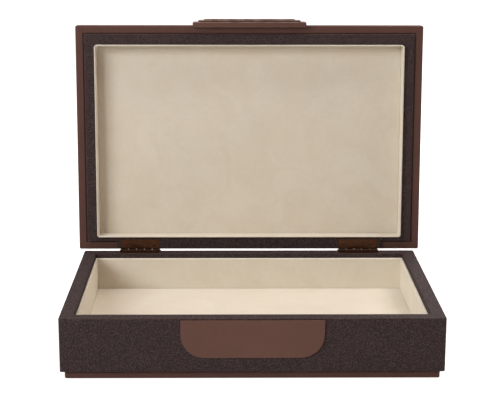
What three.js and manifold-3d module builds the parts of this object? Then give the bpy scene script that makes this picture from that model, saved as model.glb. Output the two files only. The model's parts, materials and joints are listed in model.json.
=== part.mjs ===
// A box for papers and keepsakes: a tray wrapped in shagreen leatherette on a brown plinth, and a
// brown lid with a lined recess that swings on two brass butt hinges.
// Millimetres. X runs left to right, Y from front to back, Z up.
// The origin is the middle of the plinth's underside, and the lid stands open against its stop.
import * as THREE from "three";
import { mergeVertices } from "three/addons/utils/BufferGeometryUtils.js";
import Module from "manifold-3d";

const wasm = await Module();
wasm.setup();

// Driving sizes of the tray
const bodyWidth = 320;
const bodyDepth = 211;
const bodyHeight = 46.7;
const bodyCorner = 1.8;
const rimEdge = 0.6;
const skinThickness = 0.9;
const skinTurnIn = 14;
const skinTurnUnder = 8;
const wallBoard = 9.5;
const glueLine = 0.2;

// Plinth and the felt under it
const plinthHeight = 6.6;
const plinthInset = 3.5;
const plinthCorner = 2.2;
const plinthEdge = 1.1;
const feltBorder = 12;
const feltThickness = 1;

// Lining of the tray
const liningBoard = 1.7;
const liningDrop = 4.4;
const liningEdge = 0.5;
const floorDrop = 34.6;
const floorPad = 2;

// Plaque on the front
const plaqueWidth = 119;
const plaqueHeight = 32.3;
const plaqueThickness = 1.2;
const plaqueRadius = 20;
const plaqueBelowRim = 1.5;
const plaqueEdge = 0.35;

// Lid
const openAngle = 93.5;
const lidOverhang = 5.5;
const lidFrontOverhang = 5.6;
const lidBorder = 7.4;
const lidThickness = 15;
const lidCorner = 2.4;
const lidEdge = 0.9;
const closedGap = 0.3;
const ringProud = 2.2;
const ringEdge = 0.5;
const ringCorner = 1.2;
const lipClearance = 0.8;
const lipProud = 3;
const lipBoard = 1.9;
const lipCorner = 2.6;
const lipEdge = 0.6;
const recessDepth = 10;
const liningPanel = 2;

// Stepped pull on the lid's front edge
const pullWidth = 107.7;
const pullEndStep = 5.25;
const pullHeightStep = 2.6;
const pullDrop = 5.5;
const pullLetIn = 1.3;
const pullBackProud = 3.4;
const pullMiddleProud = 5.1;
const pullCapProud = 6;
const pullEdge = 0.25;

// Hinges
const hingeFromEnd = 54;
const leafLength = 38;
const leafThickness = 1.2;
const leafReach = 11.2;
const leafCorner = 0.8;
const knuckleRadius = 1.9;
const knuckleCount = 5;
const knuckleGap = 0.3;
const pinRadius = 0.9;
const pinClearance = 0.1;
const pinHeadRadius = 1.25;
const pinHeadLength = 0.7;
const axisBack = 0.9;
const axisBelowRim = 0.5;
const lidRearGap = 1.05;
const railFromEnd = 31.5;
const mortiseGap = 0.2;
const screwSpacing = 13.5;
const screwHeadRadius = 1.9;
const screwHeadDepth = 0.95;
const screwRadius = 0.8;
const screwLength = 9;
const screwTip = 2.2;
const screwClearance = 0.12;
const slotWidth = 0.45;
const slotDepth = 0.4;

// Shape detail, and how far a cutting solid runs past what it cuts
const overrun = 2;
const arcSteps = 5;
const roundSteps = 20;
const screwSteps = 14;
const mitreSpreadShare = 0.4;
const mitreShiftShare = 0.7;
const halfShare = 0.5;

// Levels and places that follow from the sizes above
const bodyBottom = plinthHeight + glueLine;
const rimTop = plinthHeight + bodyHeight;
const wallTotal = skinThickness * 2 + glueLine * 2 + wallBoard;
const axisY = bodyDepth / 2 + axisBack;
const axisZ = rimTop - axisBelowRim;
const ringPlane = rimTop + closedGap;
const lidUnder = ringPlane + ringProud;
const lidTop = lidUnder + lidThickness;
const lidRear = axisY - lidRearGap;
const recessFace = ringPlane + recessDepth;
const panelTop = recessFace + liningPanel;
const topPanelUnder = panelTop + glueLine;
const hingeSpacing = bodyWidth - hingeFromEnd * 2;
const railHalf = bodyWidth / 2 - railFromEnd;

// A rectangle in plan, by its left, right, front and back
function rect(x0, x1, y0, y1) {
  return { x0, x1, y0, y1 };
}

function centredRect(width, depth) {
  return rect(-width / 2, width / 2, -depth / 2, depth / 2);
}

function inset(r, by) {
  return rect(r.x0 + by, r.x1 - by, r.y0 + by, r.y1 - by);
}

// The outlines that several pieces share
const bodyOutline = centredRect(bodyWidth, bodyDepth);
const boardOutline = inset(bodyOutline, skinThickness + glueLine);
const boardInside = inset(boardOutline, wallBoard);
const trayOpening = inset(bodyOutline, wallTotal);
const lipOutline = inset(trayOpening, lipClearance);
const lidOutline = rect(
  -bodyWidth / 2 - lidOverhang,
  bodyWidth / 2 + lidOverhang,
  -bodyDepth / 2 - lidFrontOverhang,
  lidRear,
);
const ringOutline = inset(lidOutline, lidBorder);
const lidInside = inset(lipOutline, -glueLine);

// A closed triangle mesh as a solid that can be cut and joined
function solidFrom(geometry) {
  geometry.deleteAttribute("normal");
  geometry.deleteAttribute("uv");
  const merged = mergeVertices(geometry);
  const mesh = new wasm.Mesh({
    numProp: 3,
    vertProperties: new Float32Array(merged.attributes.position.array),
    triVerts: new Uint32Array(merged.index.array),
  });
  return new wasm.Manifold(mesh);
}

function geometryFrom(solid) {
  const mesh = solid.getMesh();
  const geometry = new THREE.BufferGeometry();
  geometry.setAttribute("position", new THREE.BufferAttribute(new Float32Array(mesh.vertProperties), 3));
  geometry.setIndex(new THREE.BufferAttribute(new Uint32Array(mesh.triVerts), 1));
  geometry.computeVertexNormals();
  return geometry;
}

// A rectangle with round corners, as an outline for an extrusion
function roundedShape(r, corner) {
  const shape = new THREE.Shape();
  shape.moveTo(r.x0 + corner, r.y0);
  shape.lineTo(r.x1 - corner, r.y0);
  if (corner > 0) shape.absarc(r.x1 - corner, r.y0 + corner, corner, -Math.PI / 2, 0, false);
  shape.lineTo(r.x1, r.y1 - corner);
  if (corner > 0) shape.absarc(r.x1 - corner, r.y1 - corner, corner, 0, Math.PI / 2, false);
  shape.lineTo(r.x0 + corner, r.y1);
  if (corner > 0) shape.absarc(r.x0 + corner, r.y1 - corner, corner, Math.PI / 2, Math.PI, false);
  shape.lineTo(r.x0, r.y0 + corner);
  if (corner > 0) shape.absarc(r.x0 + corner, r.y0 + corner, corner, Math.PI, Math.PI * 1.5, false);
  return shape;
}

// An upright plate between two levels, with round corners in plan and rounded upper and lower edges
function plate(r, z0, z1, corner = 0, edge = 0) {
  const outline = roundedShape(inset(r, edge), Math.max(corner - edge, 0));
  const geometry = new THREE.ExtrudeGeometry(outline, {
    depth: z1 - z0 - edge * 2,
    curveSegments: arcSteps,
    bevelEnabled: edge > 0,
    bevelThickness: edge,
    bevelSize: edge,
    bevelSegments: 3,
  });
  geometry.translate(0, 0, z0 + edge);
  return solidFrom(geometry);
}

// A plate that stands on a vertical face: its outline is in X and Z, and it runs forward from rearY
function frontPlate(shape, rearY, thickness, edge) {
  const geometry = new THREE.ExtrudeGeometry(shape, {
    depth: thickness - edge * 2,
    curveSegments: arcSteps * 2,
    bevelEnabled: true,
    bevelThickness: edge,
    bevelSize: edge,
    bevelOffset: -edge,
    bevelSegments: 2,
  });
  geometry.rotateX(Math.PI / 2);
  geometry.translate(0, rearY - edge, 0);
  return solidFrom(geometry);
}

// A cylinder along X between two places
function rod(x0, x1, y, z, radius, steps = roundSteps) {
  const geometry = new THREE.CylinderGeometry(radius, radius, x1 - x0, steps);
  geometry.rotateZ(Math.PI / 2);
  geometry.translate((x0 + x1) / 2, y, z);
  return solidFrom(geometry);
}

// The plan corners of one bar of a four-sided frame, from its outer start round to its inner start
function barCorners(side, outer, inner) {
  const point = (x, y) => new THREE.Vector2(x, y);
  const corners = {
    front: [point(outer.x0, outer.y0), point(outer.x1, outer.y0), point(inner.x1, inner.y0), point(inner.x0, inner.y0)],
    back: [point(outer.x1, outer.y1), point(outer.x0, outer.y1), point(inner.x0, inner.y1), point(inner.x1, inner.y1)],
    left: [point(outer.x0, outer.y1), point(outer.x0, outer.y0), point(inner.x0, inner.y0), point(inner.x0, inner.y1)],
    right: [point(outer.x1, outer.y0), point(outer.x1, outer.y1), point(inner.x1, inner.y1), point(inner.x1, inner.y0)],
  };
  return corners[side];
}

// One mitred bar cut from a whole frame; its mitres are a glue line apart from its neighbours'
function mitredBar(frame, side, outer, inner, z0, z1) {
  const [a, b, c, d] = barCorners(side, outer, inner);
  const along = b.clone().sub(a).normalize().multiplyScalar(glueLine * mitreShiftShare);
  const spread = (p, q) => p.clone().add(p.clone().sub(q).multiplyScalar(mitreSpreadShare));
  const shape = new THREE.Shape([
    spread(a, d).add(along),
    spread(b, c).sub(along),
    spread(c, b).sub(along),
    spread(d, a).add(along),
  ]);
  const geometry = new THREE.ExtrudeGeometry(shape, { depth: z1 - z0 + overrun * 2, bevelEnabled: false });
  geometry.translate(0, 0, z0 - overrun);
  return frame.intersect(solidFrom(geometry));
}

// Materials, with the colours that the pieces show
const shagreen = new THREE.MeshStandardMaterial({ color: 0x3c3130, roughness: 0.72, metalness: 0 });
const brown = new THREE.MeshStandardMaterial({ color: 0x5f453d, roughness: 0.5, metalness: 0 });
const suede = new THREE.MeshStandardMaterial({ color: 0xd8cbb4, roughness: 0.95, metalness: 0 });
const board = new THREE.MeshStandardMaterial({ color: 0xa98a62, roughness: 0.85, metalness: 0 });
const felt = new THREE.MeshStandardMaterial({ color: 0x2f2622, roughness: 1, metalness: 0 });
const brass = new THREE.MeshStandardMaterial({ color: 0xa8834a, roughness: 0.3, metalness: 1 });

const group = new THREE.Group();
const tray = new THREE.Group();
group.add(tray);

// The lid's pieces are drawn closed; the outer group stands on the hinge axis and holds them open
const lidPivot = new THREE.Group();
lidPivot.position.set(0, axisY, axisZ);
lidPivot.rotation.x = -THREE.MathUtils.degToRad(openAngle);
group.add(lidPivot);
const lid = new THREE.Group();
lid.position.set(0, -axisY, -axisZ);
lidPivot.add(lid);

function place(parent, name, solid, material) {
  const mesh = new THREE.Mesh(geometryFrom(solid), material);
  mesh.name = name;
  parent.add(mesh);
}

// Hinge places and the knuckles' stretches along the pin
const hinges = [
  { name: "hinge_left", x: -hingeSpacing / 2 },
  { name: "hinge_right", x: hingeSpacing / 2 },
];
const knuckleLength = (leafLength - knuckleGap * (knuckleCount - 1)) / knuckleCount;

function knuckleSpan(hingeX, index) {
  const x0 = hingeX - leafLength / 2 + index * (knuckleLength + knuckleGap);
  return [x0, x0 + knuckleLength];
}

// Screws stand in a row along the middle of the leaf's flat part
const screwY = axisY - (leafReach + knuckleRadius) / 2;

function screwPlaces(hingeX) {
  return [-1, 0, 1].map((step) => hingeX + step * screwSpacing);
}

// A turned solid about a vertical axis; its profile is given as radius and height pairs, from the axis to the axis
function turned(profile, x, y, z, steps) {
  const geometry = new THREE.LatheGeometry(profile.map(([r, h]) => new THREE.Vector2(r, h)), steps);
  geometry.rotateX(Math.PI / 2);
  geometry.translate(x, y, z);
  return solidFrom(geometry);
}

// A countersunk screw with its head's face at z, pointing down for a positive way and up for a negative one
function screwProfile(spare, length) {
  return [
    [0, -length],
    [screwRadius * halfShare + spare, -length],
    [screwRadius + spare, -length + screwTip],
    [screwRadius + spare, -screwHeadDepth],
    [screwHeadRadius + spare, -spare],
    [screwHeadRadius + spare, 0],
    [0, 0],
  ];
}

function flipped(profile) {
  return profile.map(([r, h]) => [r, -h]).reverse();
}

function screw(x, y, z, upward) {
  const profile = screwProfile(0, screwLength);
  profile[4] = [screwHeadRadius, -screwClearance];
  const body = turned(upward ? flipped(profile) : profile, x, y, z, screwSteps);
  const slotLow = upward ? z - overrun : z - slotDepth;
  const slotHigh = upward ? z + slotDepth : z + overrun;
  const slot = plate(
    rect(x - screwHeadRadius - overrun, x + screwHeadRadius + overrun, y - slotWidth / 2, y + slotWidth / 2),
    slotLow,
    slotHigh,
  );
  return body.subtract(slot);
}

// The hole that a screw leaves in a leaf and in the board under it
function screwHole(x, y, z, upward) {
  const profile = screwProfile(screwClearance, screwLength + screwClearance * 2);
  profile[profile.length - 2] = [screwHeadRadius + screwClearance, overrun];
  profile[profile.length - 1] = [0, overrun];
  return turned(upward ? flipped(profile) : profile, x, y, z, screwSteps);
}

// Cuts the hinge's screw holes out of a solid that the screws pass through
function withScrewHoles(solid, z, upward) {
  let result = solid;
  for (const hinge of hinges) {
    for (const x of screwPlaces(hinge.x)) {
      result = result.subtract(screwHole(x, screwY, z, upward));
    }
  }
  return result;
}

// The pockets that the leaves lie in, open to the back
function withLeafPockets(solid, z0, z1) {
  let result = solid;
  for (const hinge of hinges) {
    const r = rect(
      hinge.x - leafLength / 2 - mortiseGap,
      hinge.x + leafLength / 2 + mortiseGap,
      axisY - leafReach - mortiseGap,
      axisY + overrun,
    );
    result = result.subtract(plate(r, z0, z1));
  }
  return result;
}

// Plinth: a board with rounded edges, hollowed underneath for the felt
function makePlinth() {
  const outline = inset(bodyOutline, plinthInset);
  const feltOutline = inset(outline, feltBorder);
  const body = plate(outline, 0, plinthHeight, plinthCorner, plinthEdge);
  const hollow = plate(inset(feltOutline, -glueLine), -overrun, feltThickness + glueLine, plinthCorner);
  place(tray, "plinth", body.subtract(hollow), brown);
  place(tray, "base_felt", plate(feltOutline, 0, feltThickness, plinthCorner), felt);
}

// Carcass: four mitred boards round a bottom board
function makeCarcass() {
  const z0 = bodyBottom + skinThickness + glueLine;
  const z1 = rimTop - skinThickness - glueLine;
  const corner = bodyCorner - skinThickness - glueLine;
  const ring = plate(boardOutline, z0, z1, corner).subtract(plate(boardInside, z0 - overrun, z1 + overrun));
  for (const side of ["front", "back", "left", "right"]) {
    let bar = mitredBar(ring, side, boardOutline, boardInside, z0, z1);
    if (side === "back") {
      bar = withLeafPockets(bar, rimTop - leafThickness - mortiseGap, rimTop + overrun);
      bar = withScrewHoles(bar, rimTop, false);
    }
    place(tray, `wall_${side}`, bar, board);
  }
  const floorTop = rimTop - floorDrop - floorPad - glueLine;
  place(tray, "base_board", plate(inset(boardInside, glueLine), bodyBottom, floorTop), board);
}

// Wrap: one skin over the outside and the rim, turned in at the top and under at the bottom
function makeSkin() {
  const turnUnder = inset(bodyOutline, skinTurnUnder);
  const inLeg = inset(trayOpening, -skinThickness);
  const cavityLow = bodyBottom + skinThickness;
  const cavityHigh = rimTop - skinThickness;
  const outside = plate(bodyOutline, bodyBottom, rimTop, bodyCorner, rimEdge);
  const cavity = plate(inset(bodyOutline, skinThickness), cavityLow, cavityHigh, bodyCorner - skinThickness);
  const leg = plate(inLeg, rimTop - skinTurnIn, rimTop + overrun);
  let skin = outside.subtract(cavity.subtract(leg));
  skin = skin.subtract(plate(trayOpening, cavityLow, rimTop + overrun));
  skin = skin.subtract(plate(turnUnder, bodyBottom - overrun, cavityLow + glueLine));
  skin = withLeafPockets(skin, rimTop - leafThickness - mortiseGap, rimTop + overrun);
  const notchHalf = leafLength / 2 + knuckleGap + pinHeadLength + mortiseGap;
  for (const hinge of hinges) {
    const notch = rect(
      hinge.x - notchHalf,
      hinge.x + notchHalf,
      bodyOutline.y1 - skinThickness - glueLine,
      bodyOutline.y1 + overrun,
    );
    skin = skin.subtract(plate(notch, axisZ - knuckleRadius - closedGap, rimTop + overrun));
  }
  place(tray, "base_skin", skin, shagreen);
}

// Lining of the tray: four mitred boards standing on the bottom board, and a floor pad between them
function makeLining() {
  const outer = inset(trayOpening, glueLine);
  const inner = inset(outer, liningBoard);
  const z0 = rimTop - floorDrop - floorPad;
  const z1 = rimTop - liningDrop;
  const body = plate(outer, z0, z1, 0, liningEdge);
  const ring = body.subtract(plate(inner, z0 - overrun, z1 + overrun));
  for (const side of ["front", "back", "left", "right"]) {
    place(tray, `lining_${side}`, mitredBar(ring, side, outer, inner, z0, z1), suede);
  }
  place(tray, "lining_floor", plate(inset(inner, glueLine), z0, rimTop - floorDrop, 0, liningEdge), suede);
}

// Plaque: straight along the top, with two large round corners below
function makePlaque() {
  const z1 = rimTop - plaqueBelowRim;
  const z0 = z1 - plaqueHeight;
  const half = plaqueWidth / 2;
  const shape = new THREE.Shape();
  shape.moveTo(-half, z1);
  shape.lineTo(-half, z0 + plaqueRadius);
  shape.absarc(-half + plaqueRadius, z0 + plaqueRadius, plaqueRadius, Math.PI, Math.PI * 1.5, false);
  shape.lineTo(half - plaqueRadius, z0);
  shape.absarc(half - plaqueRadius, z0 + plaqueRadius, plaqueRadius, -Math.PI / 2, 0, false);
  shape.lineTo(half, z1);
  place(tray, "front_plaque", frontPlate(shape, bodyOutline.y0 - glueLine, plaqueThickness, plaqueEdge), brown);
}

// Lid frame: four mitred bars, rebated above for the top panel and notched in front for the pull
function makeLidFrame() {
  const body = plate(lidOutline, lidUnder, lidTop, lidCorner, lidEdge);
  const through = plate(lidInside, lidUnder - overrun, lidTop + overrun, lipCorner);
  const rebate = plate(inset(ringOutline, -glueLine), topPanelUnder - glueLine, lidTop + overrun);
  const notchWidth = pullWidth + glueLine * 2;
  const notch = plate(
    rect(-notchWidth / 2, notchWidth / 2, lidOutline.y0 - overrun, lidOutline.y0 + pullLetIn + glueLine),
    lidUnder - overrun,
    lidTop + overrun,
  );
  const frame = body.subtract(through).subtract(rebate).subtract(notch);
  for (const side of ["front", "back", "left", "right"]) {
    let bar = mitredBar(frame, side, lidOutline, lidInside, lidUnder, lidTop);
    if (side === "back") bar = withScrewHoles(bar, ringPlane, true);
    place(lid, `lid_frame_${side}`, bar, brown);
  }
  place(lid, "lid_top_panel", plate(ringOutline, topPanelUnder, lidTop, 0, ringEdge), shagreen);
}

// Raised ring round the recess: mitred in front, and behind it widens to the rail between the hinges
function makeRing() {
  const z1 = lidUnder - glueLine;
  const body = plate(ringOutline, ringPlane, z1, ringCorner, ringEdge);
  const rail = plate(
    rect(-railHalf, railHalf, ringOutline.y1 - ringCorner * 2, lidRear),
    ringPlane,
    z1,
    ringCorner,
    ringEdge,
  );
  const opening = plate(lidInside, ringPlane - overrun, z1 + overrun, lipCorner);
  const ring = body.subtract(opening);
  for (const side of ["front", "left", "right"]) {
    place(lid, `ring_${side}`, mitredBar(ring, side, ringOutline, lidInside, ringPlane, z1), shagreen);
  }
  let rear = mitredBar(ring, "back", ringOutline, lidInside, ringPlane, z1).add(rail.subtract(opening));
  rear = withLeafPockets(rear, ringPlane - overrun, ringPlane + leafThickness + mortiseGap);
  rear = withScrewHoles(rear, ringPlane, true);
  place(lid, "ring_rear", rear, shagreen);
}

// Lining of the lid: four strips that stand past the ring, round a panel
function makeLidLining() {
  const z0 = ringPlane - lipProud;
  const inner = inset(lipOutline, lipBoard);
  const body = plate(lipOutline, z0, panelTop, lipCorner, lipEdge);
  const ring = body.subtract(plate(inner, z0 - overrun, panelTop + overrun, lipCorner - lipBoard));
  for (const side of ["front", "back", "left", "right"]) {
    place(lid, `lip_${side}`, mitredBar(ring, side, lipOutline, inner, z0, panelTop), suede);
  }
  place(lid, "lid_lining_panel", plate(inset(inner, glueLine), recessFace, panelTop, 0, liningEdge), suede);
}

// Pull: three plates on the lid's front edge, each shorter and lower than the one behind it
function makePull() {
  const layers = [
    { name: "pull_back", rear: lidOutline.y0 + pullLetIn, front: pullBackProud },
    { name: "pull_middle", rear: lidOutline.y0 - pullBackProud - glueLine, front: pullMiddleProud },
    { name: "pull_cap", rear: lidOutline.y0 - pullMiddleProud - glueLine, front: pullCapProud },
  ];
  layers.forEach((layer, step) => {
    const half = pullWidth / 2 - pullEndStep * step;
    const z0 = lidUnder - pullDrop + pullHeightStep * step;
    const z1 = lidTop - pullHeightStep * step;
    const thickness = layer.rear - (lidOutline.y0 - layer.front);
    const shape = roundedShape(rect(-half, half, z0, z1), 0);
    place(lid, layer.name, frontPlate(shape, layer.rear, thickness, pullEdge), brown);
  });
}

// One hinge leaf: a plate with the knuckles of one parity, bored for the pin
function leaf(hingeX, z0, z1, parity, screwZ, upward) {
  const flat = rect(hingeX - leafLength / 2, hingeX + leafLength / 2, axisY - leafReach, axisY);
  let solid = plate(flat, z0, z1, leafCorner);
  for (let index = 0; index < knuckleCount; index += 1) {
    const [x0, x1] = knuckleSpan(hingeX, index);
    if (index % 2 === parity) {
      solid = solid.add(rod(x0, x1, axisY, axisZ, knuckleRadius));
    } else {
      const clear = knuckleRadius + knuckleGap;
      const gapSide = rect(x0 - knuckleGap, x1 + knuckleGap, axisY - clear, axisY + overrun);
      solid = solid.subtract(plate(gapSide, z0 - overrun, z1 + overrun));
    }
  }
  solid = solid.subtract(rod(flat.x0 - overrun, flat.x1 + overrun, axisY, axisZ, pinRadius + pinClearance));
  for (const x of screwPlaces(hingeX)) {
    solid = solid.subtract(screwHole(x, screwY, screwZ, upward));
  }
  return solid;
}

// A pin with a round head at each end, clear of the outer knuckles
function pin(hingeX) {
  const half = leafLength / 2 + knuckleGap;
  const headRound = pinHeadRadius * mitreShiftShare;
  const profile = [
    [0, -half - pinHeadLength],
    [headRound, -half - pinHeadLength],
    [pinHeadRadius, -half - pinHeadLength * halfShare],
    [pinHeadRadius, -half],
    [pinRadius, -half],
    [pinRadius, half],
    [pinHeadRadius, half],
    [pinHeadRadius, half + pinHeadLength * halfShare],
    [headRound, half + pinHeadLength],
    [0, half + pinHeadLength],
  ];
  const geometry = new THREE.LatheGeometry(profile.map(([r, h]) => new THREE.Vector2(r, h)), roundSteps);
  geometry.rotateZ(Math.PI / 2);
  geometry.translate(hingeX, axisY, axisZ);
  return solidFrom(geometry);
}

function makeHinges() {
  for (const hinge of hinges) {
    const baseLeaf = leaf(hinge.x, rimTop - leafThickness, rimTop, 0, rimTop, false);
    const lidLeaf = leaf(hinge.x, ringPlane, ringPlane + leafThickness, 1, ringPlane, true);
    place(tray, `${hinge.name}_base_leaf`, baseLeaf, brass);
    place(tray, `${hinge.name}_pin`, pin(hinge.x), brass);
    place(lid, `${hinge.name}_lid_leaf`, lidLeaf, brass);
    screwPlaces(hinge.x).forEach((x, index) => {
      place(tray, `${hinge.name}_base_screw_${index + 1}`, screw(x, screwY, rimTop, false), brass);
      place(lid, `${hinge.name}_lid_screw_${index + 1}`, screw(x, screwY, ringPlane, true), brass);
    });
  }
}

makePlinth();
makeCarcass();
makeSkin();
makeLining();
makePlaque();
makeLidFrame();
makeRing();
makeLidLining();
makePull();
makeHinges();

export default group;
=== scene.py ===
# A keepsake box that stands open. A tray wrapped in dark pebbled leatherette stands on a brown
# plinth and is lined in cream suede cloth, and a brown lid with its own lined recess swings on two
# butt hinges behind it.
import bmesh
import bpy
import json
import math
import numpy as np
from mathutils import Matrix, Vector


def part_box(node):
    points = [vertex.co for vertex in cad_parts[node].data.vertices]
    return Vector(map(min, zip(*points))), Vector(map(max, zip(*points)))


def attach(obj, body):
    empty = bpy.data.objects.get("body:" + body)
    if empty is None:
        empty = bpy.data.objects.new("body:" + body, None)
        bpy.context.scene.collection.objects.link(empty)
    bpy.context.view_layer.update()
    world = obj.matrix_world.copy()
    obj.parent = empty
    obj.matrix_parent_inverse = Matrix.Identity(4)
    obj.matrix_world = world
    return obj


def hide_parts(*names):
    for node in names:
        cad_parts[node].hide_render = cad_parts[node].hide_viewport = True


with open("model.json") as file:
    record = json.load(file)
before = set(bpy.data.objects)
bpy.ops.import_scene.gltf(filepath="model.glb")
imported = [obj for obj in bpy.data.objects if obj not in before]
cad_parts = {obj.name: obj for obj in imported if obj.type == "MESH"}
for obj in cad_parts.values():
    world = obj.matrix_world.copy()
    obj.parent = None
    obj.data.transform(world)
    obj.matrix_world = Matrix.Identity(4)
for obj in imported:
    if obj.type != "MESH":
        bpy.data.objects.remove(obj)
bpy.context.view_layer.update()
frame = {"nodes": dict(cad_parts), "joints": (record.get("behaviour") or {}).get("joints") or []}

# ------------------------------------------------
# Plinth: a moulded board of wood fibre with all its edges rounded, lacquered in a satin brown. It
# is screwed up into the tray's bottom board, stands in a little from the tray's faces, and has a
# fine shadow line cut round its top.
# ------------------------------------------------
mm = 0.001
weld_distance = 0.001 * mm
crease_angle = math.radians(38)
flat_margin = 0.1 * mm


def rounded_outline(corners, radii, steps=8):
    """Walks round a polygon of square corners and turns each into a quarter circle that touches
    both sides. With u and v the unit directions back along the side before and on along the side
    after, and n = -(v cos a + u sin a) the outward normal, the point is corner + r (u + v + n), for
    a from 0 to 90 degrees."""
    corners = np.asarray(corners, float)
    radii = np.asarray(radii, float)[:, None]
    back = np.roll(corners, 1, axis=0) - corners
    on = np.roll(corners, -1, axis=0) - corners
    back /= np.linalg.norm(back, axis=1, keepdims=True)
    on /= np.linalg.norm(on, axis=1, keepdims=True)
    angle = np.linspace(0, math.pi / 2, steps + 1)[None, :, None]
    normals = -(on[:, None] * np.cos(angle) + back[:, None] * np.sin(angle))
    points = (corners + radii * (back + on))[:, None] + radii[:, None] * normals
    return points.reshape(-1, 2), normals.reshape(-1, 2)


def edge_run(low, high, round_low, round_high, steps=5):
    """The side of a plate as rows of inset, height and edge-colour share. On each rounded edge of
    radius r the inset is r (1 - sin a), the height is r (1 - cos a) from the face, and the share of
    the lighter edge colour, partly scuffs and partly a painted highlight, is sin 2a."""
    angle = np.linspace(0, math.pi / 2, steps + 1)
    turn = np.stack([1 - np.sin(angle), 1 - np.cos(angle), np.sin(2 * angle)], 1)
    lower = turn * [round_low, round_low, 1] + [0, low, 0]
    upper = (turn * [round_high, -round_high, 1] + [0, high, 0])[::-1]
    return np.concatenate([
        [[round_low + flat_margin, low, 0]],
        lower,
        [[0, low + round_low + flat_margin, 0], [0, high - round_high - flat_margin, 0]],
        upper,
        [[round_high + flat_margin, high, 0]],
    ])


def slab(outline, run):
    """A plate: each row is the outline, drawn in along its normals by the inset, at its height."""
    points, normals = outline
    flat = points[None] - normals[None] * run[:, None, 0:1]
    height = np.broadcast_to(run[:, None, 1:2], flat.shape[:2] + (1,))
    wear_and_highlight = np.broadcast_to(run[:, 2:3], flat.shape[:2])
    return np.concatenate([flat, height], 2), wear_and_highlight


def shell(points, wear_and_highlight, rows_closed=False, columns_closed=True, caps=None):
    """Joins a grid of points with quads, point (row, column) being number row x columns + column,
    and closes open ends with one face each. The faces are turned round if the volume that they
    hold, the sum of a . (b x c) / 6 over their triangles, is negative."""
    rows, columns = points.shape[:2]
    number = np.arange(rows * columns).reshape(rows, columns)
    ring = np.concatenate([number, number[:1]]) if rows_closed else number
    ring = np.concatenate([ring, ring[:, :1]], 1) if columns_closed else ring
    quads = [ring[:-1, :-1], ring[:-1, 1:], ring[1:, 1:], ring[1:, :-1]]
    quads = np.stack(quads, -1).reshape(-1, 4)
    ends = {
        None: [],
        "rows": [number[0, ::-1], number[-1]],
        "columns": [number[:, 0], number[::-1, -1]],
    }[caps]
    flat = points.reshape(-1, 3)
    fans = [np.stack([np.full(len(e) - 2, e[0]), e[1:-1], e[2:]], 1) for e in ends]
    triangles = np.concatenate([quads[:, [0, 1, 2]], quads[:, [0, 2, 3]], *fans])
    a, b, c = (flat[triangles[:, k]] for k in range(3))
    faces = quads.tolist() + [e.tolist() for e in ends]
    if np.einsum("ij,ij->i", a, np.cross(b, c)).sum() < 0:
        faces = [face[::-1] for face in faces]
    return flat, faces, np.asarray(wear_and_highlight, float).reshape(-1)


def make_piece(name, shells, material, body, replaced=()):
    """Joins shells into one mesh, each numbered on from the last, and welds points that lie
    together. The piece rides on its body and stands for the solids that it replaces."""
    starts = np.cumsum([0] + [len(s[0]) for s in shells])
    points = np.concatenate([s[0] for s in shells])
    faces = [[i + int(start) for i in face] for s, start in zip(shells, starts) for face in s[1]]
    mesh = bpy.data.meshes.new(name)
    mesh.from_pydata(points.tolist(), [], faces)
    wear_and_highlight = np.concatenate([s[2] for s in shells]).astype(np.float32)
    mesh.attributes.new("wear_and_highlight", "FLOAT", "POINT").data.foreach_set("value", wear_and_highlight)
    return finish_piece(name, mesh, material, body, replaced)


def finish_piece(name, mesh, material, body, replaced=(), crease=crease_angle):
    """Welds a mesh, shades it smooth but for its creases, and gives it a material and a body."""
    work = bmesh.new()
    work.from_mesh(mesh)
    bmesh.ops.remove_doubles(work, verts=work.verts, dist=weld_distance)
    bmesh.ops.dissolve_degenerate(work, edges=work.edges, dist=weld_distance)
    work.to_mesh(mesh)
    work.free()
    mesh.polygons.foreach_set("use_smooth", np.ones(len(mesh.polygons), bool))
    mesh.set_sharp_from_angle(angle=crease)
    mesh.materials.clear()
    mesh.materials.append(material)
    piece = bpy.data.objects.new(name, mesh)
    bpy.context.scene.collection.objects.link(piece)
    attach(piece, body)
    if replaced:
        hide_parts(*replaced)
    return piece


def shown(red, green, blue):
    """A colour from screen numbers: ((c / 255 + 0.055) / 1.055) to the power 2.4."""
    screen = np.array([red, green, blue]) / 255
    return (*(((screen + 0.055) / 1.055) ** 2.4).tolist(), 1.0)


def add(tree, kind, inputs=None, **settings):
    """Adds a node, and sets each named input to a number or links it to a socket."""
    made = tree.nodes.new(kind)
    for key, value in settings.items():
        setattr(made, key, value)
    for key, value in (inputs or {}).items():
        if isinstance(value, bpy.types.NodeSocket):
            tree.links.new(value, made.inputs[key])
        else:
            made.inputs[key].default_value = value
    return made


def math_node(tree, operation, first, second=0.0, third=0.0):
    """One operation on up to three numbers."""
    inputs = {0: first, 1: second, 2: third}
    return add(tree, "ShaderNodeMath", inputs, operation=operation).outputs[0]


def vector_node(tree, operation, first, second=(0, 0, 0)):
    """One operation on two vectors."""
    inputs = {0: first, 1: second}
    return add(tree, "ShaderNodeVectorMath", inputs, operation=operation).outputs[0]


def noise(tree, vector, scale, detail, roughness=0.5, distortion=0.0):
    """The outputs of a noise texture: its value is the first, and it also has a colour."""
    inputs = {"Vector": vector, "Scale": scale, "Detail": detail, "Roughness": roughness}
    return add(tree, "ShaderNodeTexNoise", inputs | {"Distortion": distortion}).outputs


def toned(tree, colour, value):
    """A colour made lighter or darker, its value times the given one."""
    return add(tree, "ShaderNodeHueSaturation", {"Color": colour, "Value": value}).outputs[0]


def spread(tree, value, low, high, to_low=0.0, to_high=1.0):
    """Maps low..high to to_low..to_high along a smooth step."""
    inputs = {
        "Value": value, "From Min": low, "From Max": high, "To Min": to_low, "To Max": to_high,
    }
    return add(tree, "ShaderNodeMapRange", inputs, interpolation_type="SMOOTHSTEP").outputs[0]


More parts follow.
